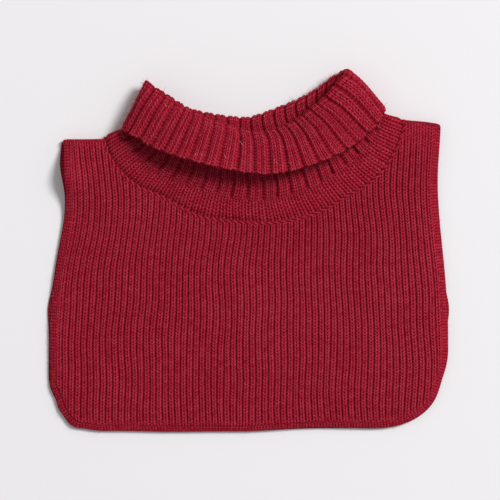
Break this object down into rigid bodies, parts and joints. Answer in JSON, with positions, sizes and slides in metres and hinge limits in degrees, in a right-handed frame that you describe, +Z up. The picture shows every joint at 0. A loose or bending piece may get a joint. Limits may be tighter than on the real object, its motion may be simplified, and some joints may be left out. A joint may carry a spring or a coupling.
{
  "type": "neck warmer",
  "caption": "Knitted neck warmer lying flat: ribbed front and back bib panels with plain edge bands, and a turned-over ribbed polo collar.",
  "frame": {"origin": "the middle of the outline seen from above, on the surface that the object lies on", "axes": "+X across the panels to the right in the picture, +Y from the hem to the collar's mouth, +Z up from the surface"},
  "size_m": [0.273, 0.246, 0.0245],
  "materials": {
    "panel_wool": "matt red wool in a fine one-by-one rib",
    "collar_wool": "matt red wool in a broad two-by-two rib",
    "trim_wool": "matt red wool in plain stitch"
  },
  "bodies": {
    "root": {"front_panel": "panel_wool", "back_panel": "panel_wool", "front_edge_band": "trim_wool", "back_edge_band": "trim_wool", "shoulder_roll_left": "trim_wool", "shoulder_roll_right": "trim_wool", "neck_seam": "trim_wool", "collar": "collar_wool"}
  },
  "joints": []
}
